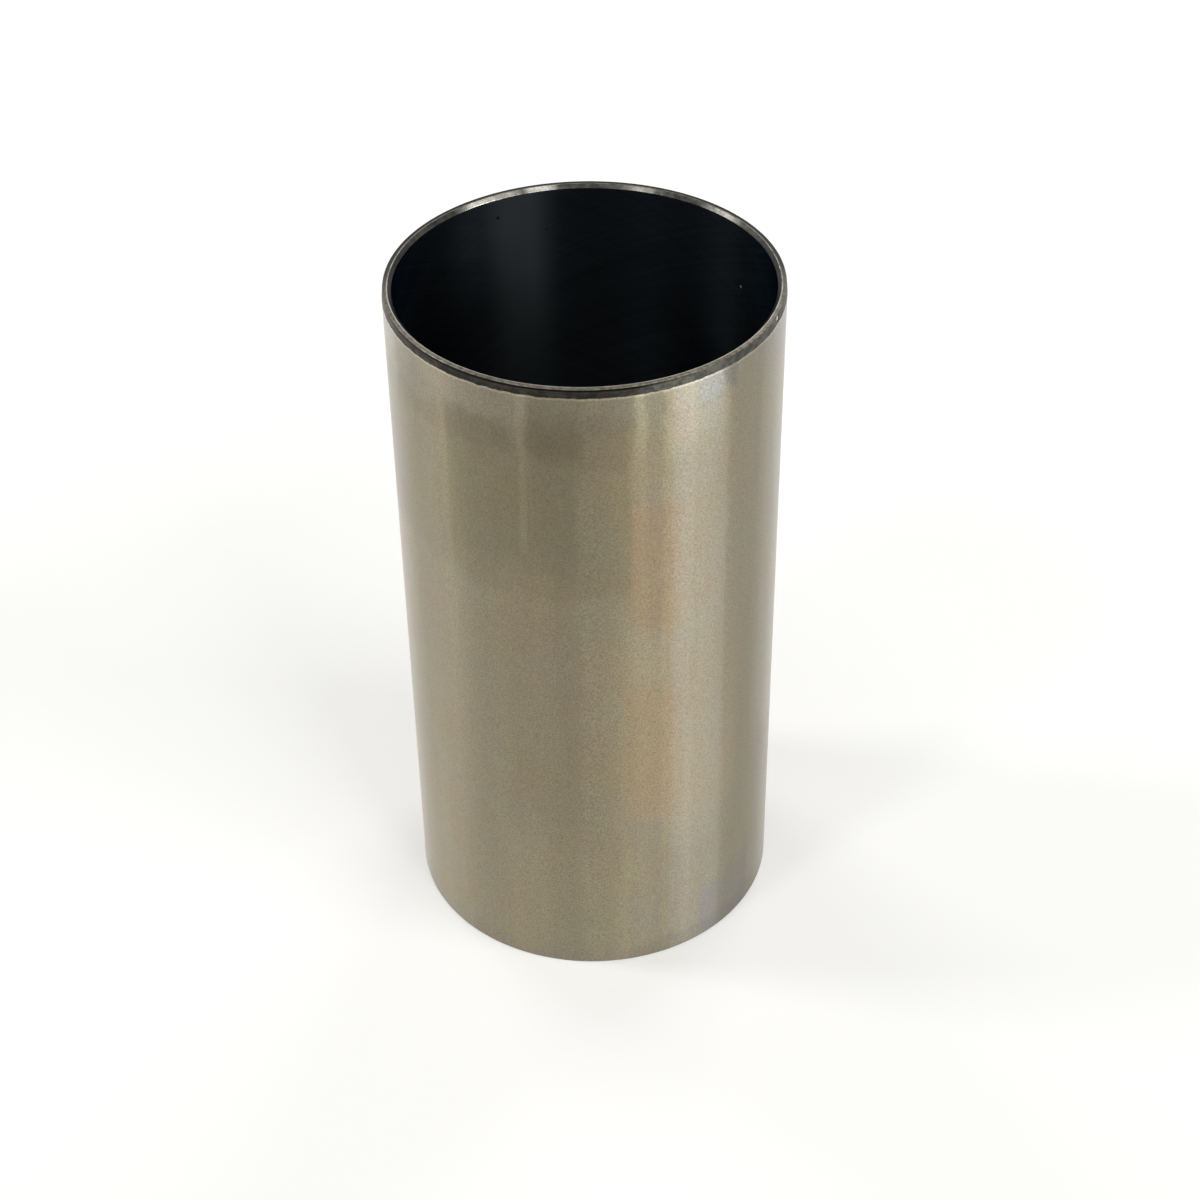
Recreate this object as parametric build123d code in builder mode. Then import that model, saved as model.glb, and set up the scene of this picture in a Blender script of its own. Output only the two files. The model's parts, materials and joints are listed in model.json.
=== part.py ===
"""Dry cylinder liner: a thin-walled sleeve that is pressed into an engine block, for a piston to run in.

It is one turned piece of cast iron. The outer wall is ground from the lower end up to a narrow
lead-in band, which is left as turned, and the bore is honed from end to end.

Frame: millimetres, +Z up along the bore's axis. The origin is the centre of the lower end face, so
the liner stands on Z = 0 with its lead-in end at the top.
"""

import os
from math import cos, isclose, radians, sin

from build123d import *

# Driving dimensions
BORE_DIAMETER = 100.0
WALL = 2.5
LENGTH = 200.0

# Upper end: the lead-in band tapers from the ground wall to the end face
LEAD_LENGTH = 2.4
LEAD_DROP = 0.25
TOP_EDGE_BREAK = 0.15
TOP_BORE_CHAMFER = 1.0

# Lower end
BOTTOM_EDGE_BREAK = 0.25
BOTTOM_BORE_CHAMFER = 1.0

# One handling nick in the lead-in band: the dent that a ball would leave
NICK_BEARING = -21.8  # degrees round +Z, from +X
NICK_DROP = 1.05  # from the end face down to the ball's centre
NICK_BALL_RADIUS = 1.5
NICK_DEPTH = 0.3

# Sizes that follow from them
bore_radius = BORE_DIAMETER / 2
outer_radius = bore_radius + WALL
end_face_radius = outer_radius - LEAD_DROP
lead_foot = LENGTH - LEAD_LENGTH


def rings(radius):
    """The circular edges of this radius on the part being built, from the lowest to the highest."""
    circles = edges().filter_by(GeomType.CIRCLE)
    return circles.filter_by(lambda edge: isclose(edge.radius, radius)).sort_by(Axis.Z)


def nick_place():
    """Where the ball has to stand to dent the lead-in band by the nick's depth, with its poles facing in and out."""
    band_radius = end_face_radius + LEAD_DROP * NICK_DROP / LEAD_LENGTH
    reach = band_radius + NICK_BALL_RADIUS - NICK_DEPTH
    bearing = radians(NICK_BEARING)
    outward = Vector(cos(bearing), sin(bearing), 0)
    return Plane(origin=outward * reach + Vector(0, 0, LENGTH - NICK_DROP), z_dir=outward)


with BuildPart() as cylinder_liner:
    # The sleeve with its lead-in, turned about the bore's axis
    with BuildSketch(Plane.XZ):
        with BuildLine():
            Polyline(
                (bore_radius, 0),
                (outer_radius, 0),
                (outer_radius, lead_foot),
                (end_face_radius, LENGTH),
                (bore_radius, LENGTH),
                close=True,
            )
        make_face()
    revolve(axis=Axis.Z)

    # Both mouths of the bore, then both outer edges
    chamfer(rings(bore_radius)[-1], length=TOP_BORE_CHAMFER)
    chamfer(rings(bore_radius)[0], length=BOTTOM_BORE_CHAMFER)
    chamfer(rings(end_face_radius)[-1], length=TOP_EDGE_BREAK)
    chamfer(rings(outer_radius)[0], length=BOTTOM_EDGE_BREAK)

    with Locations(nick_place()):
        Sphere(NICK_BALL_RADIUS, mode=Mode.SUBTRACT)

cylinder_liner.part.label = "cylinder_liner"

os.makedirs("parts", exist_ok=True)
export_step(cylinder_liner.part, "parts/cylinder_liner.step")
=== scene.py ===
"""Looks of the cylinder liner: one closed lathe mesh with its ground, turned and honed finishes.

Lengths are in metres and angles in degrees. The liner stands on its lower end at Z = 0 with its axis on +Z.
An azimuth runs round +Z from +X, so the camera stands at azimuth -90. A bearing runs the same way from the
side that faces the camera, so it is the azimuth plus 90.
"""

import json
from math import cos, pi, radians, sin, tan
from typing import NamedTuple

import bpy
import numpy as np
from mathutils import Matrix, Vector


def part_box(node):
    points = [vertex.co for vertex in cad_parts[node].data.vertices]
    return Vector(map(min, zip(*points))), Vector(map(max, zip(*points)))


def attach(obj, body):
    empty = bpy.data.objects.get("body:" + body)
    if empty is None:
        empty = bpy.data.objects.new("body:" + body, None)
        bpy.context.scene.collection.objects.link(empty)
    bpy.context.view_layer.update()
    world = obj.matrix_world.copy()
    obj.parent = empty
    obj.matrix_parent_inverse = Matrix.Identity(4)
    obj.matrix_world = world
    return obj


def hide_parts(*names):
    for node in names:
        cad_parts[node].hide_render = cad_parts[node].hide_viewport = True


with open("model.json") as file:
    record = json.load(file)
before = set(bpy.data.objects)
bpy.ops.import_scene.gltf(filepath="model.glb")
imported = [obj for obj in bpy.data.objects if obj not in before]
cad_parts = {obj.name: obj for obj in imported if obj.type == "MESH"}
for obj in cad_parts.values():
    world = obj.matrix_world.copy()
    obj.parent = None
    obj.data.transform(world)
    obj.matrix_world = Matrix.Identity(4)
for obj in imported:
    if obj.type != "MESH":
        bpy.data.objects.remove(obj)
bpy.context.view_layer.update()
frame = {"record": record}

NODE = "cylinder_liner"
BODY = "root"
MM = 0.001

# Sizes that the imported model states
highest_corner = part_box(NODE)[1]
OUTER_RADIUS = highest_corner.x
LENGTH = highest_corner.z
MOUNTS = {mount["name"]: mount for mount in frame["record"]["mounts"]}
BORE_RADIUS = MOUNTS["bore"]["dims"]["r_mm"] * MM

# Edge sizes, as in part.py
LEAD_LENGTH = 2.4 * MM
LEAD_DROP = 0.25 * MM
TOP_EDGE_BREAK = 0.15 * MM
TOP_BORE_CHAMFER = 1.0 * MM
BOTTOM_EDGE_BREAK = 0.25 * MM
BOTTOM_BORE_CHAMFER = 1.0 * MM
END_FACE_RADIUS = OUTER_RADIUS - LEAD_DROP
LEAD_FOOT = LENGTH - LEAD_LENGTH
NICK_AZIMUTH = -21.8
NICK_HEIGHT = LENGTH - 1.05 * MM
NICK_BALL_RADIUS = 1.5 * MM
NICK_DEPTH = 0.3 * MM

# Camera, fitted to the rim, the lower edge and both silhouettes of the photograph
FILM_WIDTH = 36.0  # millimetres, as Blender states a lens
LENS = 71.041
CAMERA_AZIMUTH = -90
CAMERA_ELEVATION = 37.99
CAMERA_DISTANCE = 0.6743
CAMERA_PAN = -0.2374
CAMERA_TILT = -0.4102
CAMERA_ROLL = 1.0287
CLIP_START = 0.01
CLIP_END = 100


# ---------------------------------------------------------------- the lathe mesh

AZIMUTH_STEP = 0.75
NICK_STEP = 0.1
NICK_HALF_ANGLE = 1.5
COARSE_ROW = 8 * MM
MIDDLE_ROW = 0.3 * MM
FINE_ROW = 0.12 * MM
HOLDING_ROW = 0.1 * MM  # a short row at each end of a strip, which keeps its shading flat
FOOT_MARGIN = 1 * MM  # how far below the lead-in band's foot the fine rows start
SOFT_EDGE = 0.06 * MM  # how far a soft edge reaches from its corner
EDGE_DIVISIONS = 3

ZONES = ["outer_wall", "shaded_foot_edge", "turned_face", "bright_edge", "bore_chamfer", "honed_bore"]


class Corner(NamedTuple):
    """A corner of the liner's section, and the strip that runs from it to the next corner."""

    radius: float
    height: float
    softness: float
    edge_zone: str
    strip_zone: str
    longest_row: float


def section_corners():
    """The section's corners: up the outer wall, over the rim, down the bore and out along the lower end."""
    under_break = END_FACE_RADIUS + TOP_EDGE_BREAK * LEAD_DROP / LEAD_LENGTH
    break_foot = LENGTH - TOP_EDGE_BREAK
    face_edge = END_FACE_RADIUS - TOP_EDGE_BREAK
    crisp, worn = SOFT_EDGE / 2, 1.5 * SOFT_EDGE
    return [
        Corner(OUTER_RADIUS, BOTTOM_EDGE_BREAK, SOFT_EDGE, "shaded_foot_edge", "outer_wall", COARSE_ROW),
        Corner(OUTER_RADIUS, LEAD_FOOT - FOOT_MARGIN, 0, "outer_wall", "outer_wall", FINE_ROW),
        Corner(OUTER_RADIUS, LEAD_FOOT, crisp, "outer_wall", "outer_wall", FINE_ROW),
        Corner(under_break, break_foot, crisp, "turned_face", "turned_face", FINE_ROW),
        Corner(face_edge, LENGTH, crisp, "turned_face", "turned_face", MIDDLE_ROW),
        Corner(BORE_RADIUS + TOP_BORE_CHAMFER, LENGTH, worn, "bright_edge", "bore_chamfer", MIDDLE_ROW),
        Corner(BORE_RADIUS, LENGTH - TOP_BORE_CHAMFER, SOFT_EDGE, "bore_chamfer", "honed_bore", COARSE_ROW),
        Corner(BORE_RADIUS, BOTTOM_BORE_CHAMFER, SOFT_EDGE, "bore_chamfer", "bore_chamfer", MIDDLE_ROW),
        Corner(BORE_RADIUS + BOTTOM_BORE_CHAMFER, 0, SOFT_EDGE, "bright_edge", "turned_face", MIDDLE_ROW),
        Corner(OUTER_RADIUS - BOTTOM_EDGE_BREAK, 0, SOFT_EDGE, "shaded_foot_edge", "shaded_foot_edge", FINE_ROW),
    ]


def towards(start, end):
    """Unit vector from one point of the section to another."""
    return (end - start) / np.linalg.norm(end - start)


def soft_edge(before, corner, after, softness):
    """Points that round a corner of the section, as a short quadratic curve."""
    first = corner + towards(corner, before) * softness
    last = corner + towards(corner, after) * softness
    share = np.linspace(0, 1, EDGE_DIVISIONS + 1)[:, None]
    return (1 - share) ** 2 * first + 2 * share * (1 - share) * corner + share**2 * last


def section_edges(corners):
    """The points at each corner: one, or the few that round it."""
    places = [np.array((corner.radius, corner.height)) for corner in corners]
    edges = []
    for corner, before, place, after in zip(corners, places[-1:] + places, places, places[1:] + places[:1]):
        edge = soft_edge(before, place, after, corner.softness) if corner.softness else place[None]
        edges.append(edge)
    return edges


def section_rows():
    """The section as rows of (radius, height), and the zone of the faces between each row and the next."""
    corners = section_corners()
    edges = section_edges(corners)
    rows, zones = [], []
    for corner, edge, next_edge in zip(corners, edges, edges[1:] + edges[:1]):
        rows.extend(edge)
        zones.extend([corner.edge_zone] * (len(edge) - 1))
        start, end = edge[-1], next_edge[0]
        span = np.linalg.norm(end - start)
        holding = min(HOLDING_ROW, span / 4)
        pieces = max(1, int(np.ceil((span - 2 * holding) / corner.longest_row)))
        reaches = np.concatenate([[0], np.linspace(holding, span - holding, pieces + 1)])
        rows.extend(start + towards(start, end) * reach for reach in reaches[1:])
        zones.extend([corner.strip_zone] * len(reaches))
    return np.array(rows), zones


def azimuths():
    """Azimuths of the mesh's columns over one turn, closer together at the nick."""
    coarse = np.arange(0, 360, AZIMUTH_STEP)
    nick = NICK_AZIMUTH % 360
    fine = np.arange(nick - NICK_HALF_ANGLE, nick + NICK_HALF_ANGLE, NICK_STEP)
    kept = coarse[np.abs(coarse - nick) > NICK_HALF_ANGLE + NICK_STEP / 2]
    return np.sort(np.concatenate([kept, fine]))


def press_nick(points):
    """Presses the ball-shaped nick into the points, in the lead-in band."""
    band_radius = END_FACE_RADIUS + LEAD_DROP * (LENGTH - NICK_HEIGHT) / LEAD_LENGTH
    reach = band_radius - NICK_DEPTH + NICK_BALL_RADIUS
    angle = radians(NICK_AZIMUTH)
    outward = np.array([cos(angle), sin(angle), 0])
    along = np.array([-sin(angle), cos(angle), 0])
    centre = reach * outward + np.array([0, 0, NICK_HEIGHT])
    offset = points - centre
    side, height, depth = offset @ along, offset[..., 2], offset @ outward
    left = NICK_BALL_RADIUS**2 - side**2 - height**2
    floor = -np.sqrt(np.clip(left, 0, None))
    pressed = (left > 0) & (depth > floor) & (depth < 0)
    points[pressed] += (floor - depth)[pressed][:, None] * outward


def lathe_mesh(name):
    """The closed mesh, with a bake map that gives the rim more room than the plain walls."""
    rows, zones = section_rows()
    turns = azimuths()
    angles = np.radians(turns)
    points = np.empty((len(rows), len(turns), 3))
    points[..., 0] = rows[:, 0, None] * np.cos(angles)
    points[..., 1] = rows[:, 0, None] * np.sin(angles)
    points[..., 2] = rows[:, 1, None]
    press_nick(points)
    number = np.arange(points.shape[0] * points.shape[1]).reshape(points.shape[:2])
    right = np.roll(number, -1, axis=1)
    corners = [number, right, np.roll(right, -1, axis=0), np.roll(number, -1, axis=0)]
    faces = np.stack(corners, axis=-1).reshape(-1, 4)
    mesh = bpy.data.meshes.new(name)
    mesh.from_pydata(points.reshape(-1, 3).tolist(), [], faces.tolist())
    slots = np.repeat([ZONES.index(zone) for zone in zones], len(turns))
    mesh.polygons.foreach_set("material_index", slots.astype(np.int32))
    mesh.polygons.foreach_set("use_smooth", np.ones(len(faces), bool))
    add_bake_map(mesh, rows, turns)
    mesh.update()
    return mesh


BAKE_MAP = "OFBake"
BAKE_MARGIN = 0.01
LONGEST_RIM_ROW = 1.3 * MM  # a longer row than this belongs to one of the plain walls
RIM_SHARE = 6.0  # how much more room a row of the rim gets in the bake map than a row of the walls


def add_bake_map(mesh, rows, turns):
    """Lays the surface out as one rectangle: azimuth across, and the way round the section up."""
    lengths = np.linalg.norm(np.roll(rows, -1, axis=0) - rows, axis=1)
    lengths = lengths * np.where(lengths > LONGEST_RIM_ROW, 1, RIM_SHARE)
    up = np.concatenate([[0], np.cumsum(lengths)])
    up = BAKE_MARGIN + (1 - 2 * BAKE_MARGIN) * up / up[-1]
    across = np.concatenate([turns, [turns[0] + 360]]) / 360
    across = BAKE_MARGIN + (1 - 2 * BAKE_MARGIN) * (across - across[0])
    low_v, low_u = np.meshgrid(up[:-1], across[:-1], indexing="ij")
    high_v, high_u = np.meshgrid(up[1:], across[1:], indexing="ij")
    u = np.stack([low_u, high_u, high_u, low_u], axis=-1)
    v = np.stack([low_v, low_v, high_v, high_v], axis=-1)
    layer = mesh.uv_layers.new(name=BAKE_MAP)
    layer.data.foreach_set("uv", np.stack([u, v], axis=-1).astype(np.float32).ravel())


# ---------------------------------------------------------------- node helpers


class NodeTree:
    """Short calls that add nodes to one material or world."""

    def __init__(self, owner):
        owner.use_nodes = True
        self.tree = owner.node_tree
        self.tree.nodes.clear()
        self.object_point = None

    def add(self, kind, inputs=None, **settings):
        """Adds a node, sets its properties, then links or sets its inputs by name or number."""
        node = self.tree.nodes.new(kind)
        for name, value in settings.items():
            setattr(node, name, value)
        for name, value in (inputs or {}).items():
            self.put(node.inputs[name], value)
        return node

    def put(self, socket, value):
        """Links an output to an input, or sets the input's own value."""
        if isinstance(value, bpy.types.NodeSocket):
            self.tree.links.new(value, socket)
        elif isinstance(value, (tuple, list)) and socket.type == "RGBA" and len(value) == 3:
            socket.default_value = (*value, 1)
        else:
            socket.default_value = value

    def point(self):
        """The shaded point in the liner's frame, in metres."""
        if self.object_point is None:
            self.object_point = self.add("ShaderNodeTexCoord").outputs["Object"]
        return self.object_point

    def bearing(self):
        """Degrees round the axis from the side that faces the camera, growing to the camera's right."""
        x, y, _ = self.add("ShaderNodeSeparateXYZ", {"Vector": self.point()}).outputs
        return self.math("DEGREES", self.math("ARCTAN2", x, self.math("MULTIPLY", y, -1.0)))

    def height(self):
        """Millimetres above the lower end face."""
        z = self.add("ShaderNodeSeparateXYZ", {"Vector": self.point()}).outputs["Z"]
        return self.math("DIVIDE", z, MM)

    def radius(self):
        """Metres from the axis."""
        level = self.vector("MULTIPLY", self.point(), (1, 1, 0))
        return self.vector("LENGTH", level, output="Value")

    def math(self, operation, *values):
        """One step of arithmetic."""
        node = self.add("ShaderNodeMath", operation=operation)
        for socket, value in zip(node.inputs, values):
            self.put(socket, value)
        return node.outputs[0]

    def vector(self, operation, first, second=None, output="Vector"):
        """One step of vector arithmetic."""
        node = self.add("ShaderNodeVectorMath", operation=operation)
        self.put(node.inputs[0], first)
        if second is not None:
            self.put(node.inputs[1], second)
        return node.outputs[output]

    def noise(self, scales, detail=2.0, roughness=0.5, shift=(0, 0, 0), point=None):
        """Noise of about 0 to 1 over the liner's frame, scaled in waves per metre along each axis."""
        stretched = self.vector("MULTIPLY", point or self.point(), scales)
        moved = self.vector("ADD", stretched, shift)
        inputs = {"Vector": moved, "Scale": 1.0, "Detail": detail, "Roughness": roughness}
        return self.add("ShaderNodeTexNoise", inputs).outputs["Fac"]

    def ramp(self, value, low, high, to_low=0.0, to_high=1.0, smooth=True):
        """Maps low..high to to_low..to_high, and holds the ends."""
        inputs = {"Value": value, "From Min": low, "From Max": high, "To Min": to_low, "To Max": to_high}
        kind = "SMOOTHSTEP" if smooth else "LINEAR"
        return self.add("ShaderNodeMapRange", inputs, interpolation_type=kind).outputs["Result"]

    def window(self, value, start, end, soft):
        """1 between start and end, with soft borders of this width centred on both."""
        rise = self.ramp(value, start - soft / 2, start + soft / 2)
        fall = self.ramp(value, end - soft / 2, end + soft / 2, 1.0, 0.0)
        return self.math("MULTIPLY", rise, fall)

    def mix(self, share, first, second, blend="MIX"):
        """Mixes two colours."""
        node = self.add("ShaderNodeMix", data_type="RGBA", blend_type=blend)
        for socket, value in zip((node.inputs[0], node.inputs[6], node.inputs[7]), (share, first, second)):
            self.put(socket, value)
        return node.outputs[2]

    def tinted(self, share, colour, factor):
        """A colour multiplied by a factor, by a share."""
        return self.mix(share, colour, factor, blend="MULTIPLY")

    def bump(self, height, strength, depth=0.02 * MM):
        """The normal of a surface with this relief."""
        inputs = {"Height": height, "Strength": strength, "Distance": depth}
        return self.add("ShaderNodeBump", inputs).outputs["Normal"]

    def metal(self, colour, roughness, normal, **others):
        """A metallic Principled shader as the output, with its other inputs by name, such as coat_weight."""
        inputs = {"Base Color": colour, "Metallic": 1.0, "Roughness": roughness, "Normal": normal}
        inputs.update({name.replace("_", " ").title(): value for name, value in others.items()})
        shader = self.add("ShaderNodeBsdfPrincipled", inputs)
        self.add("ShaderNodeOutputMaterial", {"Surface": shader.outputs[0]})


# ---------------------------------------------------------------- the liner's finishes

RING_MARKS = 0.25  # anisotropic rotation for marks that run round the axis: highlights stretch across them
COAT_ROUGHNESS = 0.45


class TintPatch(NamedTuple):
    """A tint on the ground wall, where some are stains and others painted shade and painted highlights: its
    bearings in degrees and heights in millimetres, both with soft ends.

    A height below the foot or above the top keeps that end of the tint full.
    """

    name: str
    bearings: tuple
    side_soft: float
    heights: tuple
    end_soft: float
    factor: tuple  # what the iron's colour is multiplied by


STAINS_AND_PAINTED_LIGHT = [
    # in front: temper colours and tints, with painted shade towards the top, painted highlights and a
    # painted reflection of the floor low down, as the photograph shows them
    # Painted shade: the front is darker, most of all towards the top, under olive and brown tints.
    TintPatch("olive tint, painted shade", (-43, 12), 3, (136, 189), 6, (0.87, 0.86, 0.79)),
    TintPatch("olive tint, painted shade, thick middle", (-43, -3), 4, (147, 189), 8, (0.91, 0.91, 0.86)),
    TintPatch("brown cap", (-17, 11), 3, (176, 194), 4, (0.90, 0.88, 0.86)),
    TintPatch("brown cap, darkest", (-16, -2), 3, (179, 201), 6, (0.87, 0.85, 0.81)),
    TintPatch("olive tint, painted shade, thin tail", (-27, -3), 6, (52, 137), 24, (0.91, 0.89, 0.86)),
    # Painted shade on the left side.
    TintPatch("left painted shade", (-64, -44), 3, (137, 186), 5, (0.88, 0.88, 0.86)),
    TintPatch("left shade", (-62, -47), 4, (-9, 136), 6, (0.92, 0.92, 0.94)),
    # Painted highlight, where the left lamp is mirrored.
    TintPatch("left painted highlight", (-50, -43), 2, (-9, 138), 5, (1.03, 1.02, 1.02)),
    TintPatch("pale cloud", (-62, -28), 5, (186, 205), 4, (1.03, 1.02, 1.07)),
    TintPatch("shadow under the cloud", (-43, -21), 4, (178, 190), 5, (0.88, 0.87, 0.88)),
    # Painted highlights: light streaks where lamps are mirrored, strongest near the top.
    TintPatch("fine painted highlight", (-19.5, -17), 1.2, (149, 205), 5, (1.16, 1.16, 1.22)),
    TintPatch("bright painted highlight", (13, 16), 1.5, (182, 215), 16, (1.24, 1.26, 1.28)),
    TintPatch("bright painted highlight, tail", (12.5, 16), 2, (60, 180), 20, (1.04, 1.03, 1.02)),
    # Painted highlight: the main highlight's paler colour, strongest near the top and weaker at the foot.
    TintPatch("cream painted highlight", (24, 43), 2.5, (-9, 209), 5, (1.06, 1.10, 1.26)),
    TintPatch("cream painted highlight, left edge", (21, 31), 2.5, (-9, 209), 5, (1.12, 1.12, 1.15)),
    TintPatch("cream painted highlight, upper half", (23.5, 42.5), 2, (120, 230), 60, (1.06, 1.06, 1.08)),
    TintPatch("cream painted highlight, top", (22, 41), 3, (180, 209), 16, (1.23, 1.24, 1.25)),
    TintPatch("cream painted highlight, foot", (20, 50), 6, (-40, 45), 30, (0.86, 0.88, 0.92)),
    TintPatch("warm shade", (16.5, 21), 2, (120, 200), 10, (0.93, 0.92, 0.95)),
    TintPatch("orange temper, upper", (11, 26), 3, (122, 163), 9, (1.04, 0.95, 0.90)),
    TintPatch("orange temper, lower", (9.5, 26), 3, (55, 101), 10, (1.04, 0.96, 0.90)),
    TintPatch("grey patch", (10.5, 22.5), 2, (107, 124), 4, (1.02, 1.06, 1.11)),
    TintPatch("violet shade", (11, 21), 3, (-9, 55), 6, (0.93, 0.94, 1.02)),
    # Painted reflection of the bright floor: the front is lighter low down.
    TintPatch("front, painted floor reflection", (-3, 11), 4, (-9, 122), 14, (1.08, 1.07, 1.05)),
    TintPatch("front, painted floor reflection, foot", (-4, 12), 5, (-9, 40), 14, (1.06, 1.08, 1.07)),
    # Painted shade beside the main highlight.
    TintPatch("grey painted shade, right", (44, 59), 5, (-9, 205), 8, (0.93, 0.92, 0.92)),
    TintPatch("grey painted shade, right, foot", (44, 63), 4, (-40, 60), 20, (0.95, 0.96, 0.94)),
    # Painted shade near the floor, with a bluish tint: the foot is darker.
    TintPatch("blue foot", (36, 59), 4, (-9, 20), 7, (0.87, 0.90, 1.10)),
    TintPatch("blue tint, top", (32, 40), 3, (180, 195), 5, (0.97, 1.0, 1.12)),
    TintPatch("smudge under the band", (40.5, 46), 2, (191.5, 199), 3, (0.74, 0.74, 0.76)),
    # Painted shade near the floor on the right.
    TintPatch("right foot", (60, 100), 6, (-40, 63), 16, (0.90, 0.90, 0.90)),
    TintPatch("blue-grey under the band", (32, 48), 3, (191, 209), 5, (0.99, 1.05, 1.16)),
    # Painted shade at the top left.
    TintPatch("left painted shade, top", (-66, -44), 3, (180, 193), 4, (0.90, 0.90, 0.91)),
    TintPatch("pale top, far left", (-92, -67), 5, (192, 209), 4, (1.13, 1.13, 1.16)),
    TintPatch("pale top", (-100, 100), 10, (188, 209), 8, (0.96, 1.0, 1.07)),
    # More painted shade towards the top of the front.
    TintPatch("brown top", (-28, -1), 4, (175, 209), 16, (0.87, 0.86, 0.85)),
    TintPatch("brown top, right", (-1, 13), 4, (187, 209), 6, (0.87, 0.86, 0.85)),
    TintPatch("pale top, right", (13, 40), 3, (191, 209), 5, (1.08, 1.07, 1.07)),
    # Painted shade in the front and at the far left.
    TintPatch("olive core", (-28, -3), 4, (143, 175), 8, (0.89, 0.89, 0.87)),
    TintPatch("left painted shade, far edge", (-90, -64), 3, (137, 186), 5, (0.86, 0.88, 0.90)),
    # Painted reflection: paler and bluer towards the right side.
    TintPatch("right side, painted reflection", (69, 110), 10, (-9, 209), 6, (1.05, 1.08, 1.10)),
    # Painted shade near the floor, with a bluish tint.
    TintPatch("blue-grey foot", (-70, 12), 6, (-9, 5), 5, (0.95, 0.95, 1.06)),
    TintPatch("dark foot, right", (12, 100), 6, (-9, 6), 5, (0.86, 0.86, 0.90)),
    # at the back, which the photograph does not show: more of the same, tints with painted shade and painted
    # highlights
    TintPatch("back tint, painted shade", (112, 158), 12, (92, 185), 22, (0.88, 0.87, 0.82)),
    TintPatch("back tint, painted shade, thick", (121, 143), 10, (118, 178), 26, (0.92, 0.91, 0.88)),
    TintPatch("back temper", (-171, -153), 6, (50, 112), 24, (1.03, 0.96, 0.91)),
    TintPatch("back cream, painted highlight", (-140, -121), 5, (-9, 209), 8, (1.08, 1.10, 1.18)),
    TintPatch("back streak, painted highlight", (101, 104), 1.5, (70, 209), 20, (1.16, 1.16, 1.2)),
    TintPatch("back foot", (-122, -86), 12, (-9, 32), 22, (0.92, 0.92, 1.02)),
]
SIDE_WANDER = 4.0  # degrees that a tint's sides wander by
END_WANDER = 16.0  # millimetres that a tint's ends wander by
SIDE_REFLECTION_START = (55, 77)  # bearings, on both sides, over which the painted reflection sets in
SIDE_REFLECTION_FADE = (85, 140)  # bearings, on both sides, over which it fades to the back's share
BACK_REFLECTION_SHARE = 0.45


def ground_colour(nodes, bearing, height):
    """The ground wall: streaked and mottled iron, paler and bluer at the sides as a painted reflection,
    under its stains, painted shade and painted highlights.
    """
    streak = nodes.noise((95, 95, 4), detail=3, roughness=0.55)
    mottle = nodes.noise((70, 70, 55), detail=4, roughness=0.55)
    tint = nodes.noise((110, 110, 80), detail=3, shift=(3, 5, 7))
    base = nodes.mix(nodes.ramp(streak, 0.3, 0.7), (0.225, 0.192, 0.110), (0.255, 0.219, 0.125))
    base = nodes.mix(nodes.ramp(mottle, 0.35, 0.65, 0, 0.4), base, (0.23, 0.212, 0.142))
    base = nodes.tinted(nodes.ramp(tint, 0.35, 0.65), base, (1.02, 0.97, 1.0))
    # Painted reflection: the sides are paler and bluer, less so at the back, with a random tint there.
    aside = nodes.math("ABSOLUTE", bearing)
    fading = nodes.ramp(aside, *SIDE_REFLECTION_FADE, 1.0, BACK_REFLECTION_SHARE)
    painted_reflection = nodes.math("MULTIPLY", nodes.ramp(aside, *SIDE_REFLECTION_START), fading)
    base = nodes.tinted(painted_reflection, base, (1.10, 1.18, 1.55))
    side_tint = nodes.math("MULTIPLY", painted_reflection, nodes.ramp(tint, 0.42, 0.58))
    base = nodes.tinted(side_tint, base, (1.01, 0.96, 1.01))
    return stained_and_painted(nodes, base, bearing, height)


def stained_and_painted(nodes, colour, bearing, height):
    """Lays the stains, painted shade and painted highlights over a colour, with borders that wander."""
    ragged = nodes.noise((160, 160, 110), detail=4, roughness=0.6)
    shift = nodes.math("SUBTRACT", ragged, 0.5)
    wandering = nodes.math("MULTIPLY_ADD", shift, SIDE_WANDER, bearing)
    wavering = nodes.math("MULTIPLY_ADD", shift, END_WANDER, height)
    for stain in STAINS_AND_PAINTED_LIGHT:
        across = nodes.window(wandering, *stain.bearings, stain.side_soft)
        along = nodes.window(wavering, *stain.heights, stain.end_soft)
        colour = nodes.tinted(nodes.math("MULTIPLY", across, along), colour, stain.factor)
    return colour


BAND_FOOT = LEAD_FOOT / MM - 0.12  # millimetres: the mean height at which the dark band starts
FOOT_WANDER = 0.8  # millimetres that the band's foot wanders by
FOOT_EDGE = (-0.05, 0.07)  # millimetres above the band's foot, over which the wall turns into the band
PAINTED_EDGE_HIGHLIGHT = (-0.6, 0.2)  # millimetres above the band's foot: a painted highlight line on the wall, along the edge
LIGHT_LINE_SOFT = 0.2
DARK_TOP_LINE = (199.1, 199.5)  # millimetres: the heights over which a near-black line sets in at the band's top
BAND_COAT = 0.15  # how much of the wall's clear coat the band keeps


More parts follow.
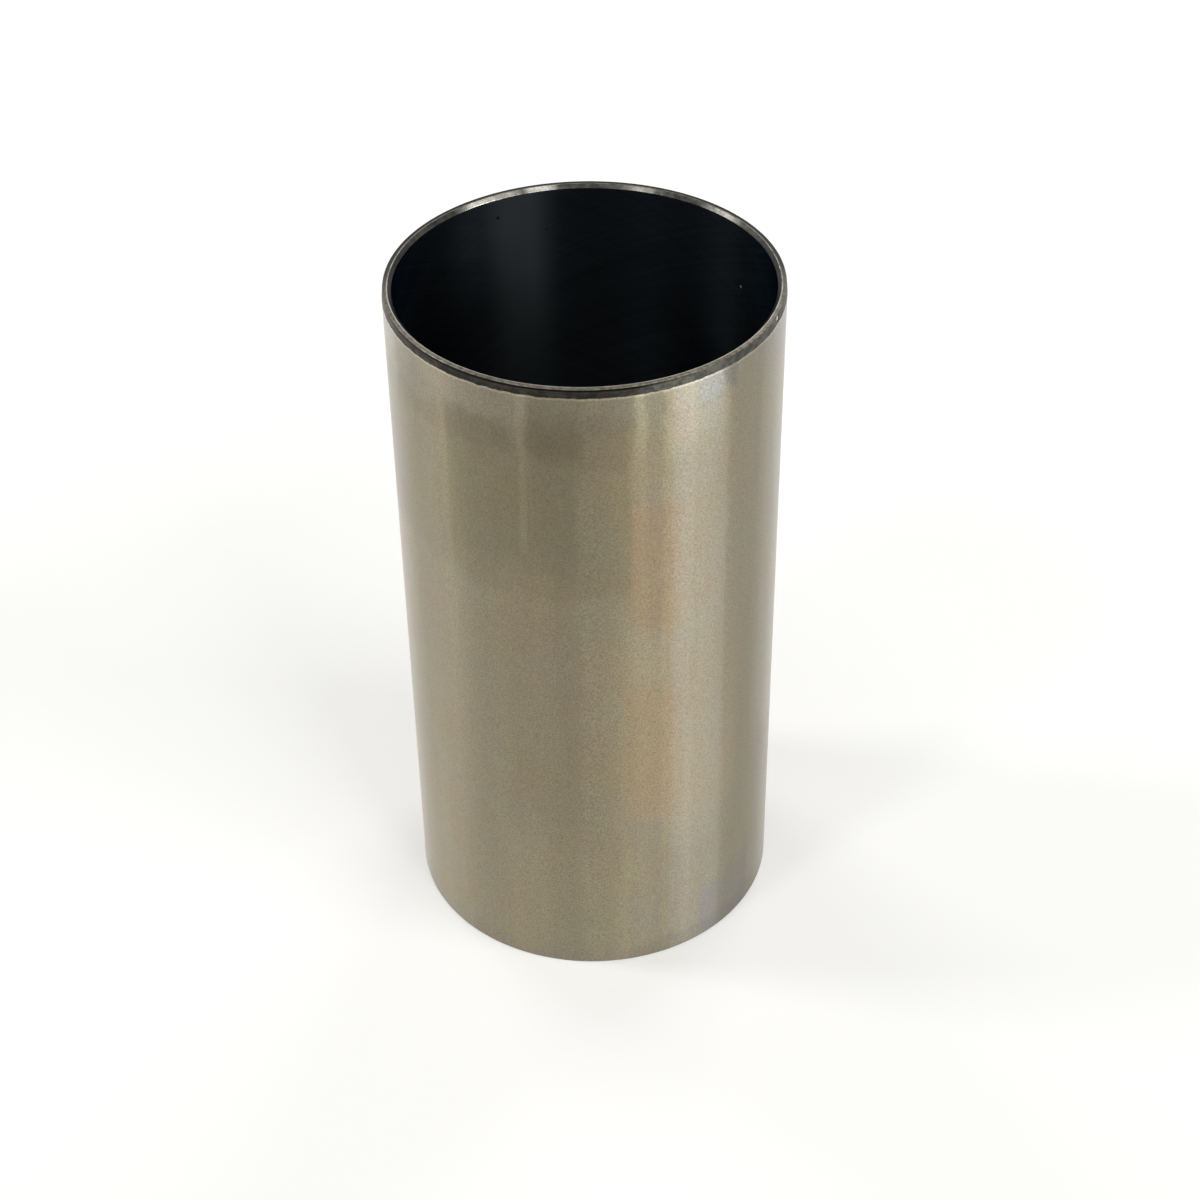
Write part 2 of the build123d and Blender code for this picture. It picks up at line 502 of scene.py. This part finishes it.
def outer_wall():
    """Ground iron up to a painted highlight line, and the lead-in band's dark turned iron above its uneven
    foot.
    """
    material = bpy.data.materials.new("ground_iron")
    nodes = NodeTree(material)
    grain = nodes.noise((2200, 2200, 2200), detail=1)
    marks = nodes.noise((60, 60, 3600), detail=2)
    bearing, height = nodes.bearing(), nodes.height()
    ragged_foot = nodes.math("SUBTRACT", nodes.noise((400, 400, 0)), 0.5)
    foot = nodes.math("MULTIPLY_ADD", ragged_foot, FOOT_WANDER, BAND_FOOT)
    above = nodes.math("SUBTRACT", height, foot)
    # Painted highlight: a light line just below the band's foot.
    painted_edge_highlight = nodes.window(above, *PAINTED_EDGE_HIGHLIGHT, LIGHT_LINE_SOFT)
    ground = nodes.tinted(painted_edge_highlight, ground_colour(nodes, bearing, height), (1.45, 1.45, 1.55))
    in_band = nodes.ramp(above, *FOOT_EDGE)
    colour = nodes.mix(in_band, ground, band_colour(nodes, marks, bearing, height))
    fleck_share = nodes.ramp(grain, 0.25, 0.75, smooth=False)
    flecks = nodes.mix(fleck_share, (0.70, 0.70, 0.70), (1.30, 1.30, 1.30))
    colour = nick_colour(nodes, nodes.tinted(1.0, colour, flecks))
    roughness = nodes.ramp(grain, 0.2, 0.8, 0.50, 0.58)
    relief = nodes.bump(nodes.math("ADD", grain, marks), 0.15)
    coat = nodes.math("MULTIPLY_ADD", in_band, BAND_COAT - 1, 1.0)
    film = {"coat_weight": coat, "coat_roughness": COAT_ROUGHNESS}
    nodes.metal(colour, roughness, relief, anisotropic=0.92, anisotropic_rotation=RING_MARKS, **film)
    return material


def band_colour(nodes, marks, bearing, height):
    """The lead-in band: dark iron, greyer to the right in part as a painted highlight, khaki past the nick,
    and a near-black line at its top.
    """
    spots = nodes.noise((420, 420, 600), detail=3)
    dark = nodes.mix(nodes.ramp(marks, 0.3, 0.7), (0.028, 0.026, 0.021), (0.056, 0.051, 0.041))
    # Greyer to the right: in part a painted highlight, where the lamps are mirrored.
    grey = nodes.mix(nodes.window(bearing, 16, 76, 8), dark, (0.103, 0.103, 0.088))
    khaki = nodes.mix(nodes.window(bearing, 68, 86, 4), grey, (0.070, 0.066, 0.056))
    left = nodes.mix(nodes.window(bearing, -84, -62, 16), khaki, (0.085, 0.078, 0.066))
    spotted = nodes.tinted(nodes.ramp(spots, 0.4, 0.6), left, (0.58, 0.56, 0.56))
    line = nodes.math("MULTIPLY", nodes.ramp(height, *DARK_TOP_LINE), nodes.window(bearing, -75, 22, 20))
    return nodes.mix(line, spotted, (0.002, 0.002, 0.002))


# Millimetres from the middle of the nick
NICK_METAL_AND_GLINT_FADE = (0.52, 0.72)
NICK_PAINTED_SHADOW = (0.6, 1.0)


def nick_colour(nodes, colour):
    """Fresh metal at the bottom of the nick, painted brighter as a glint, with a painted shadow round it."""
    angle = radians(NICK_AZIMUTH)
    centre = (END_FACE_RADIUS * cos(angle), END_FACE_RADIUS * sin(angle), NICK_HEIGHT)
    away = nodes.math("DIVIDE", nodes.vector("DISTANCE", nodes.point(), centre, output="Value"), MM)
    # Painted shadow: a dark ring round the nick.
    shadowed = nodes.mix(nodes.window(away, *NICK_PAINTED_SHADOW, 0.2), colour, (0.03, 0.03, 0.026))
    return nodes.mix(nodes.ramp(away, *NICK_METAL_AND_GLINT_FADE, 1.0, 0.0), shadowed, (0.82, 0.81, 0.77))


def shaded_foot_edge():
    """The broken outer edge at the foot: painted shade where it meets the floor, with a patchy tone."""
    material = bpy.data.materials.new("shaded_foot_edge")
    nodes = NodeTree(material)
    wear = nodes.noise((300, 300, 300), detail=3)
    colour = nodes.mix(nodes.ramp(wear, 0.35, 0.7), (0.015, 0.014, 0.012), (0.06, 0.055, 0.045))
    nodes.metal(colour, 0.5, nodes.bump(wear, 0.1))
    return material


def turning_marks(nodes):
    """Fine rings round the axis, by the distance from it."""
    across = nodes.add("ShaderNodeCombineXYZ", {"Z": nodes.radius()}).outputs[0]
    spot = nodes.vector("ADD", nodes.vector("MULTIPLY", nodes.point(), (0.01, 0.01, 0)), across)
    return nodes.noise((4000, 4000, 9000), detail=2, point=spot)


# Millimetres inward from the end face's outer edge
INNER_HIGHLIGHT_MARGIN = (0.72, 0.92)  # where the inner margin's patchy painted highlight sets in
BACK_SHADE_MARGIN = (0.75, 1.0)  # where the painted shade on the back's outer margin fades out


def turned_face():
    """The end faces: turning marks, a painted highlight on the inner margin, and at the back painted shade
    on the outer margin.
    """
    material = bpy.data.materials.new("turned_face")
    nodes = NodeTree(material)
    marks = turning_marks(nodes)
    mottle = nodes.noise((250, 250, 250), detail=3)
    spots = nodes.noise((700, 700, 700), detail=2)
    colour = nodes.mix(nodes.ramp(marks, 0.3, 0.7), (0.085, 0.080, 0.060), (0.15, 0.14, 0.105))
    colour = nodes.mix(nodes.ramp(mottle, 0.5, 0.6, 0, 0.7), colour, (0.125, 0.098, 0.09))
    colour = nodes.mix(nodes.ramp(mottle, 0.46, 0.38, 0, 0.6), colour, (0.095, 0.105, 0.082))
    specks = nodes.mix(nodes.ramp(spots, 0.35, 0.65), (0.68, 0.68, 0.68), (1.32, 1.3, 1.28))
    colour = nodes.tinted(1.0, colour, specks)
    inward = nodes.math("SUBTRACT", END_FACE_RADIUS - TOP_EDGE_BREAK, nodes.radius())
    in_from_edge = nodes.math("DIVIDE", inward, MM)
    aside = nodes.math("ABSOLUTE", nodes.bearing())
    # Painted shade: darker at the sides.
    colour = nodes.tinted(nodes.window(aside, 66, 112, 30), colour, (0.62, 0.62, 0.60))
    back = nodes.ramp(aside, 80, 100)
    patchy = nodes.ramp(mottle, 0.3, 0.65, 0.45, 0.95)
    # Painted highlight on the inner margin: patchy, and weaker at the back.
    inner_highlight = nodes.math("MULTIPLY", nodes.ramp(in_from_edge, *INNER_HIGHLIGHT_MARGIN), patchy)
    inner_highlight = nodes.math("MULTIPLY", inner_highlight, nodes.math("MULTIPLY_ADD", back, -0.8, 1.0))
    colour = nodes.mix(inner_highlight, colour, (0.34, 0.325, 0.29))
    # Painted shade on the outer margin at the back.
    back_shade = nodes.math("MULTIPLY", nodes.ramp(in_from_edge, *BACK_SHADE_MARGIN, 1.0, 0.0), back)
    colour = nodes.mix(back_shade, colour, (0.013, 0.013, 0.012))
    relief = nodes.bump(marks, 0.3)
    nodes.metal(colour, 0.45, relief, anisotropic=0.7, anisotropic_rotation=RING_MARKS)
    return material


# Stretches of the chamfer that are smoother and painted bright as highlights: start and end bearing,
# softness in degrees, and share
SMOOTH_HIGHLIGHT_STRETCHES = [
    (-171, -162, 4, 0.9),
    (-159, -140, 7, 1.0),
    (158, 167, 5, 0.3),
    (124, 140, 10, 0.12),
]
SHADE_BEARING = 88  # on both sides


def smooth_highlight_share(nodes, bearing):
    """1 in the smoother stretches painted bright as highlights, and 0 elsewhere."""
    shiny = None
    for start, end, soft, share in SMOOTH_HIGHLIGHT_STRETCHES:
        stretch = nodes.math("MULTIPLY", nodes.window(bearing, start, end, soft), share)
        shiny = stretch if shiny is None else nodes.math("MAXIMUM", shiny, stretch)
    return shiny


def bore_chamfer():
    """The bore's turned chamfers: painted shade at the sides, and painted highlights on a few smoother
    stretches at the back.
    """
    material = bpy.data.materials.new("bore_chamfer")
    nodes = NodeTree(material)
    marks = turning_marks(nodes)
    spots = nodes.noise((500, 500, 500), detail=3)
    bearing = nodes.bearing()
    colour = nodes.mix(nodes.ramp(marks, 0.3, 0.7), (0.040, 0.039, 0.034), (0.074, 0.071, 0.064))
    colour = nodes.tinted(nodes.ramp(spots, 0.38, 0.62), colour, (0.55, 0.55, 0.55))
    # Painted shade at the sides.
    past_side = nodes.math("SUBTRACT", nodes.math("ABSOLUTE", bearing), SHADE_BEARING)
    side_shade = nodes.ramp(nodes.math("ABSOLUTE", past_side), 16, 32, 1.0, 0.0)
    colour = nodes.tinted(side_shade, colour, (0.25, 0.25, 0.27))
    # Painted highlights: bright colour where the lamps are mirrored.
    bright = nodes.mix(nodes.ramp(spots, 0.35, 0.65), (0.40, 0.39, 0.345), (0.27, 0.26, 0.235))
    shiny = smooth_highlight_share(nodes, bearing)
    colour = nodes.mix(shiny, colour, bright)
    roughness = nodes.math("MULTIPLY_ADD", shiny, -0.13, 0.30)
    relief = nodes.bump(marks, 0.2)
    nodes.metal(colour, roughness, relief, anisotropic=0.4, anisotropic_rotation=RING_MARKS)
    return material


# Specks on the bore: azimuth, height, radius and colour
BORE_SPECKS = [
    (31.7, 181 * MM, 0.45 * MM, (0.25, 0.26, 0.28)),
    (118.0, 193.4 * MM, 0.5 * MM, (0.001, 0.001, 0.001)),
    (101.9, 187 * MM, 0.3 * MM, (0.001, 0.001, 0.001)),
]
HATCH_TURN = 43.0  # radians round the bore for a metre of height: lines at about 25 degrees from level
HATCH_RELIEF = 0.01 * MM
FAR_REFLECTION_BEARINGS = (-168, -151)
FAR_REFLECTION_HEIGHTS = (110, 190)  # millimetres over which the painted reflection sets in


def cross_hatch(nodes):
    """The sum of two sets of honing lines, one wound to each side: about 0 to 2."""
    height = nodes.add("ShaderNodeSeparateXYZ", {"Vector": nodes.point()}).outputs["Z"]
    hatch = None
    for direction in (-1, 1):
        angle = nodes.math("MULTIPLY", height, direction * HATCH_TURN)
        inputs = {"Vector": nodes.point(), "Angle": angle, "Axis": (0, 0, 1)}
        turned = nodes.add("ShaderNodeVectorRotate", inputs, rotation_type="AXIS_ANGLE").outputs[0]
        lines = nodes.noise((1500, 1500, 30), detail=1, shift=(7.0 * direction, 0, 0), point=turned)
        hatch = lines if hatch is None else nodes.math("ADD", hatch, lines)
    return hatch


def honed_bore():
    """The honed bore: nearly black, with a faint cross-hatch, a painted reflection of the lamps on the far
    side and specks.
    """
    material = bpy.data.materials.new("honed_bore")
    nodes = NodeTree(material)
    hatch = cross_hatch(nodes)
    hatch_share = nodes.ramp(hatch, 0.7, 1.3)
    colour = nodes.mix(hatch_share, (0.0072, 0.0093, 0.0113), (0.0108, 0.0137, 0.0157))
    # Painted reflection: a lighter stretch on the far side, lighter towards the top.
    far_side = nodes.window(nodes.bearing(), *FAR_REFLECTION_BEARINGS, 12)
    painted_reflection = nodes.math("MULTIPLY", far_side, nodes.ramp(nodes.height(), *FAR_REFLECTION_HEIGHTS))
    colour = nodes.mix(painted_reflection, colour, (0.023, 0.027, 0.029))
    for azimuth, speck_height, radius, shade in BORE_SPECKS:
        angle = radians(azimuth)
        middle = (BORE_RADIUS * cos(angle), BORE_RADIUS * sin(angle), speck_height)
        away = nodes.vector("DISTANCE", nodes.point(), middle, output="Value")
        colour = nodes.mix(nodes.ramp(away, 0.6 * radius, radius, 1.0, 0.0), colour, shade)
    roughness = nodes.ramp(hatch, 0.7, 1.3, 0.48, 0.54)
    relief = nodes.bump(hatch, 0.1, HATCH_RELIEF)
    dark_film = {"specular_tint": (0.15, 0.18, 0.22)}
    nodes.metal(colour, roughness, relief, anisotropic=0.9, anisotropic_rotation=RING_MARKS, **dark_film)
    return material


def bright_edge():
    """The edges between end face and bore chamfer, painted bright as a patchy highlight, less so at the
    back.
    """
    material = bpy.data.materials.new("bright_edge")
    nodes = NodeTree(material)
    wear = nodes.noise((400, 400, 400), detail=3)
    colour = nodes.mix(nodes.ramp(wear, 0.35, 0.65), (0.10, 0.092, 0.075), (0.30, 0.285, 0.25))
    # Painted highlight, weaker at the back.
    back = nodes.ramp(nodes.math("ABSOLUTE", nodes.bearing()), 90, 120)
    colour = nodes.tinted(back, colour, (0.5, 0.5, 0.5))
    nodes.metal(colour, 0.35, nodes.bump(wear, 0.1))
    return material


def make_liner():
    """The liner as one piece in place of its CAD node, with a finish for each zone, in the zones' order."""
    liner = bpy.data.objects.new("liner", lathe_mesh("liner"))
    bpy.context.scene.collection.objects.link(liner)
    for finish in (outer_wall, shaded_foot_edge, turned_face, bright_edge, bore_chamfer, honed_bore):
        liner.data.materials.append(finish())
    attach(liner, BODY)
    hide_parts(NODE)


# ---------------------------------------------------------------- the studio

FLOOR_SIZE = 30.0
FLOOR_FADE = (0.5, 1.3)  # how far out the floor turns into a plain white backdrop
FLOOR_GLOW = 0.25
FLOOR_DIFFUSE = 0.72  # the floor's grey as it is seen
FLOOR_BOUNCE = 0.80  # the floor's grey as it lights the liner
FLOOR_TINT = (1.0, 0.997, 0.975)
WORLD_LEVEL = 0.20


def seen_directly(nodes):
    """1 for camera, glossy and transmission rays, and 0 for the rays that light other surfaces."""
    path = nodes.add("ShaderNodeLightPath")
    straight = nodes.math("MAXIMUM", path.outputs["Is Camera Ray"], path.outputs["Is Glossy Ray"])
    return nodes.math("MAXIMUM", straight, path.outputs["Is Transmission Ray"])


def floor_material():
    """White with faint shadows, turning into an even glow further out."""
    material = bpy.data.materials.new("white_floor")
    nodes = NodeTree(material)
    seen = seen_directly(nodes)
    far = nodes.ramp(nodes.vector("LENGTH", nodes.point(), output="Value"), *FLOOR_FADE)
    seen_grey = nodes.math("MULTIPLY_ADD", far, -FLOOR_DIFFUSE, FLOOR_DIFFUSE)
    grey = nodes.ramp(seen, 0, 1, FLOOR_BOUNCE, seen_grey, smooth=False)
    level = nodes.add("ShaderNodeCombineColor", {0: grey, 1: grey, 2: grey}).outputs[0]
    diffuse = nodes.add("ShaderNodeBsdfDiffuse", {"Color": nodes.tinted(1.0, level, FLOOR_TINT)})
    glow_colour = nodes.mix(far, FLOOR_TINT, (1, 1, 1))
    glow_level = nodes.math("MULTIPLY_ADD", far, 1 - FLOOR_GLOW, FLOOR_GLOW)
    strength = nodes.math("MULTIPLY", seen, glow_level)
    glow = nodes.add("ShaderNodeEmission", {"Color": glow_colour, "Strength": strength})
    both = nodes.add("ShaderNodeAddShader", {0: diffuse.outputs[0], 1: glow.outputs[0]})
    nodes.add("ShaderNodeOutputMaterial", {"Surface": both.outputs[0]})
    return material


def make_floor():
    """The plain floor that the liner stands on."""
    half = FLOOR_SIZE / 2
    corners = [(-half, -half, 0), (half, -half, 0), (half, half, 0), (-half, half, 0)]
    mesh = bpy.data.meshes.new("floor")
    mesh.from_pydata(corners, [], [(0, 1, 2, 3)])
    mesh.materials.append(floor_material())
    floor = bpy.data.objects.new("floor", mesh)
    bpy.context.scene.collection.objects.link(floor)


def make_world():
    """White where it is seen or mirrored, and a plain soft level of light elsewhere."""
    world = bpy.data.worlds.new("studio")
    nodes = NodeTree(world)
    level = nodes.ramp(seen_directly(nodes), 0, 1, WORLD_LEVEL, 1.0, smooth=False)
    background = nodes.add("ShaderNodeBackground", {"Color": (1, 1, 1), "Strength": level})
    nodes.add("ShaderNodeOutputWorld", {"Surface": background.outputs[0]})
    world.cycles.sampling_method = "NONE"
    bpy.context.scene.world = world


def direction(azimuth, elevation):
    """Unit vector at an azimuth and an elevation."""
    level = cos(radians(elevation))
    return Vector((level * cos(radians(azimuth)), level * sin(radians(azimuth)), sin(radians(elevation))))


class Lamp(NamedTuple):
    """A plain area lamp that faces the liner's middle, and how many degrees it fills as seen from there."""

    name: str
    azimuth: float
    elevation: float
    across: float
    tall: float
    power: float  # radiance, where 1 is white paper in plain light, times the solid angle that it fills


LAMP_DISTANCE = 3.0
LAMPS = [
    # windows at the right and the front right
    Lamp("right_lamp", -29, 45, 28, 6, 0.4),
    Lamp("right_low_lamp", -27, 16, 30, 14, 1.05),
    Lamp("front_lamp", -59, 49, 13, 8, 0.25),
    Lamp("front_low_lamp", -59, 22, 15, 14, 0.42),
    # smaller ones at the left
    Lamp("front_left_lamp", -137, 50, 8, 8, 0.4),
    Lamp("left_lamp", 172, 36, 11, 10, 0.79),
    # pale walls behind, and a soft ceiling
    Lamp("back_right_lamp", 60, 35, 30, 20, 0.8),
    Lamp("back_left_lamp", 127, 31, 24, 14, 0.78),
    Lamp("ceiling_lamp", -90, 75, 40, 20, 0.5),
]


def make_lamp(lamp):
    """Hangs one lamp, out of the camera's sight."""
    data = bpy.data.lights.new(lamp.name, "AREA")
    data.shape = "RECTANGLE"
    data.size = 2 * LAMP_DISTANCE * tan(radians(lamp.across / 2))
    data.size_y = 2 * LAMP_DISTANCE * tan(radians(lamp.tall / 2))
    data.energy = pi * lamp.power * LAMP_DISTANCE**2
    hung = bpy.data.objects.new(lamp.name, data)
    away = direction(lamp.azimuth, lamp.elevation)
    hung.location = Vector((0, 0, LENGTH / 2)) + away * LAMP_DISTANCE
    hung.rotation_mode = "QUATERNION"
    hung.rotation_quaternion = away.to_track_quat("Z", "Y")
    hung.visible_camera = False
    bpy.context.scene.collection.objects.link(hung)


def make_camera():
    """The photograph's camera: it looks nearly at the liner's middle, with a small pan, tilt and roll."""
    data = bpy.data.cameras.new("camera")
    data.sensor_width = FILM_WIDTH
    data.lens = LENS
    data.clip_start = CLIP_START
    data.clip_end = CLIP_END
    camera = bpy.data.objects.new("camera", data)
    away = direction(CAMERA_AZIMUTH, CAMERA_ELEVATION)
    right = (-away).cross(Vector((0, 0, 1))).normalized()
    up = right.cross(-away)
    axes = [right, up, -away]
    for angle, number in ((CAMERA_PAN, 1), (CAMERA_TILT, 0), (CAMERA_ROLL, 2)):
        turn = Matrix.Rotation(radians(angle), 3, axes[number])
        axes = [turn @ axis for axis in axes]
    right, up, forward = axes
    facing = Matrix((right, up, -forward)).transposed().to_4x4()
    place = Vector((0, 0, LENGTH / 2)) + away * CAMERA_DISTANCE
    camera.matrix_world = Matrix.Translation(place) @ facing
    bpy.context.scene.collection.objects.link(camera)
    bpy.context.scene.camera = camera


make_camera()
make_world()
make_floor()
for lamp in LAMPS:
    make_lamp(lamp)
make_liner()
bpy.context.scene.view_settings.view_transform = "Standard"
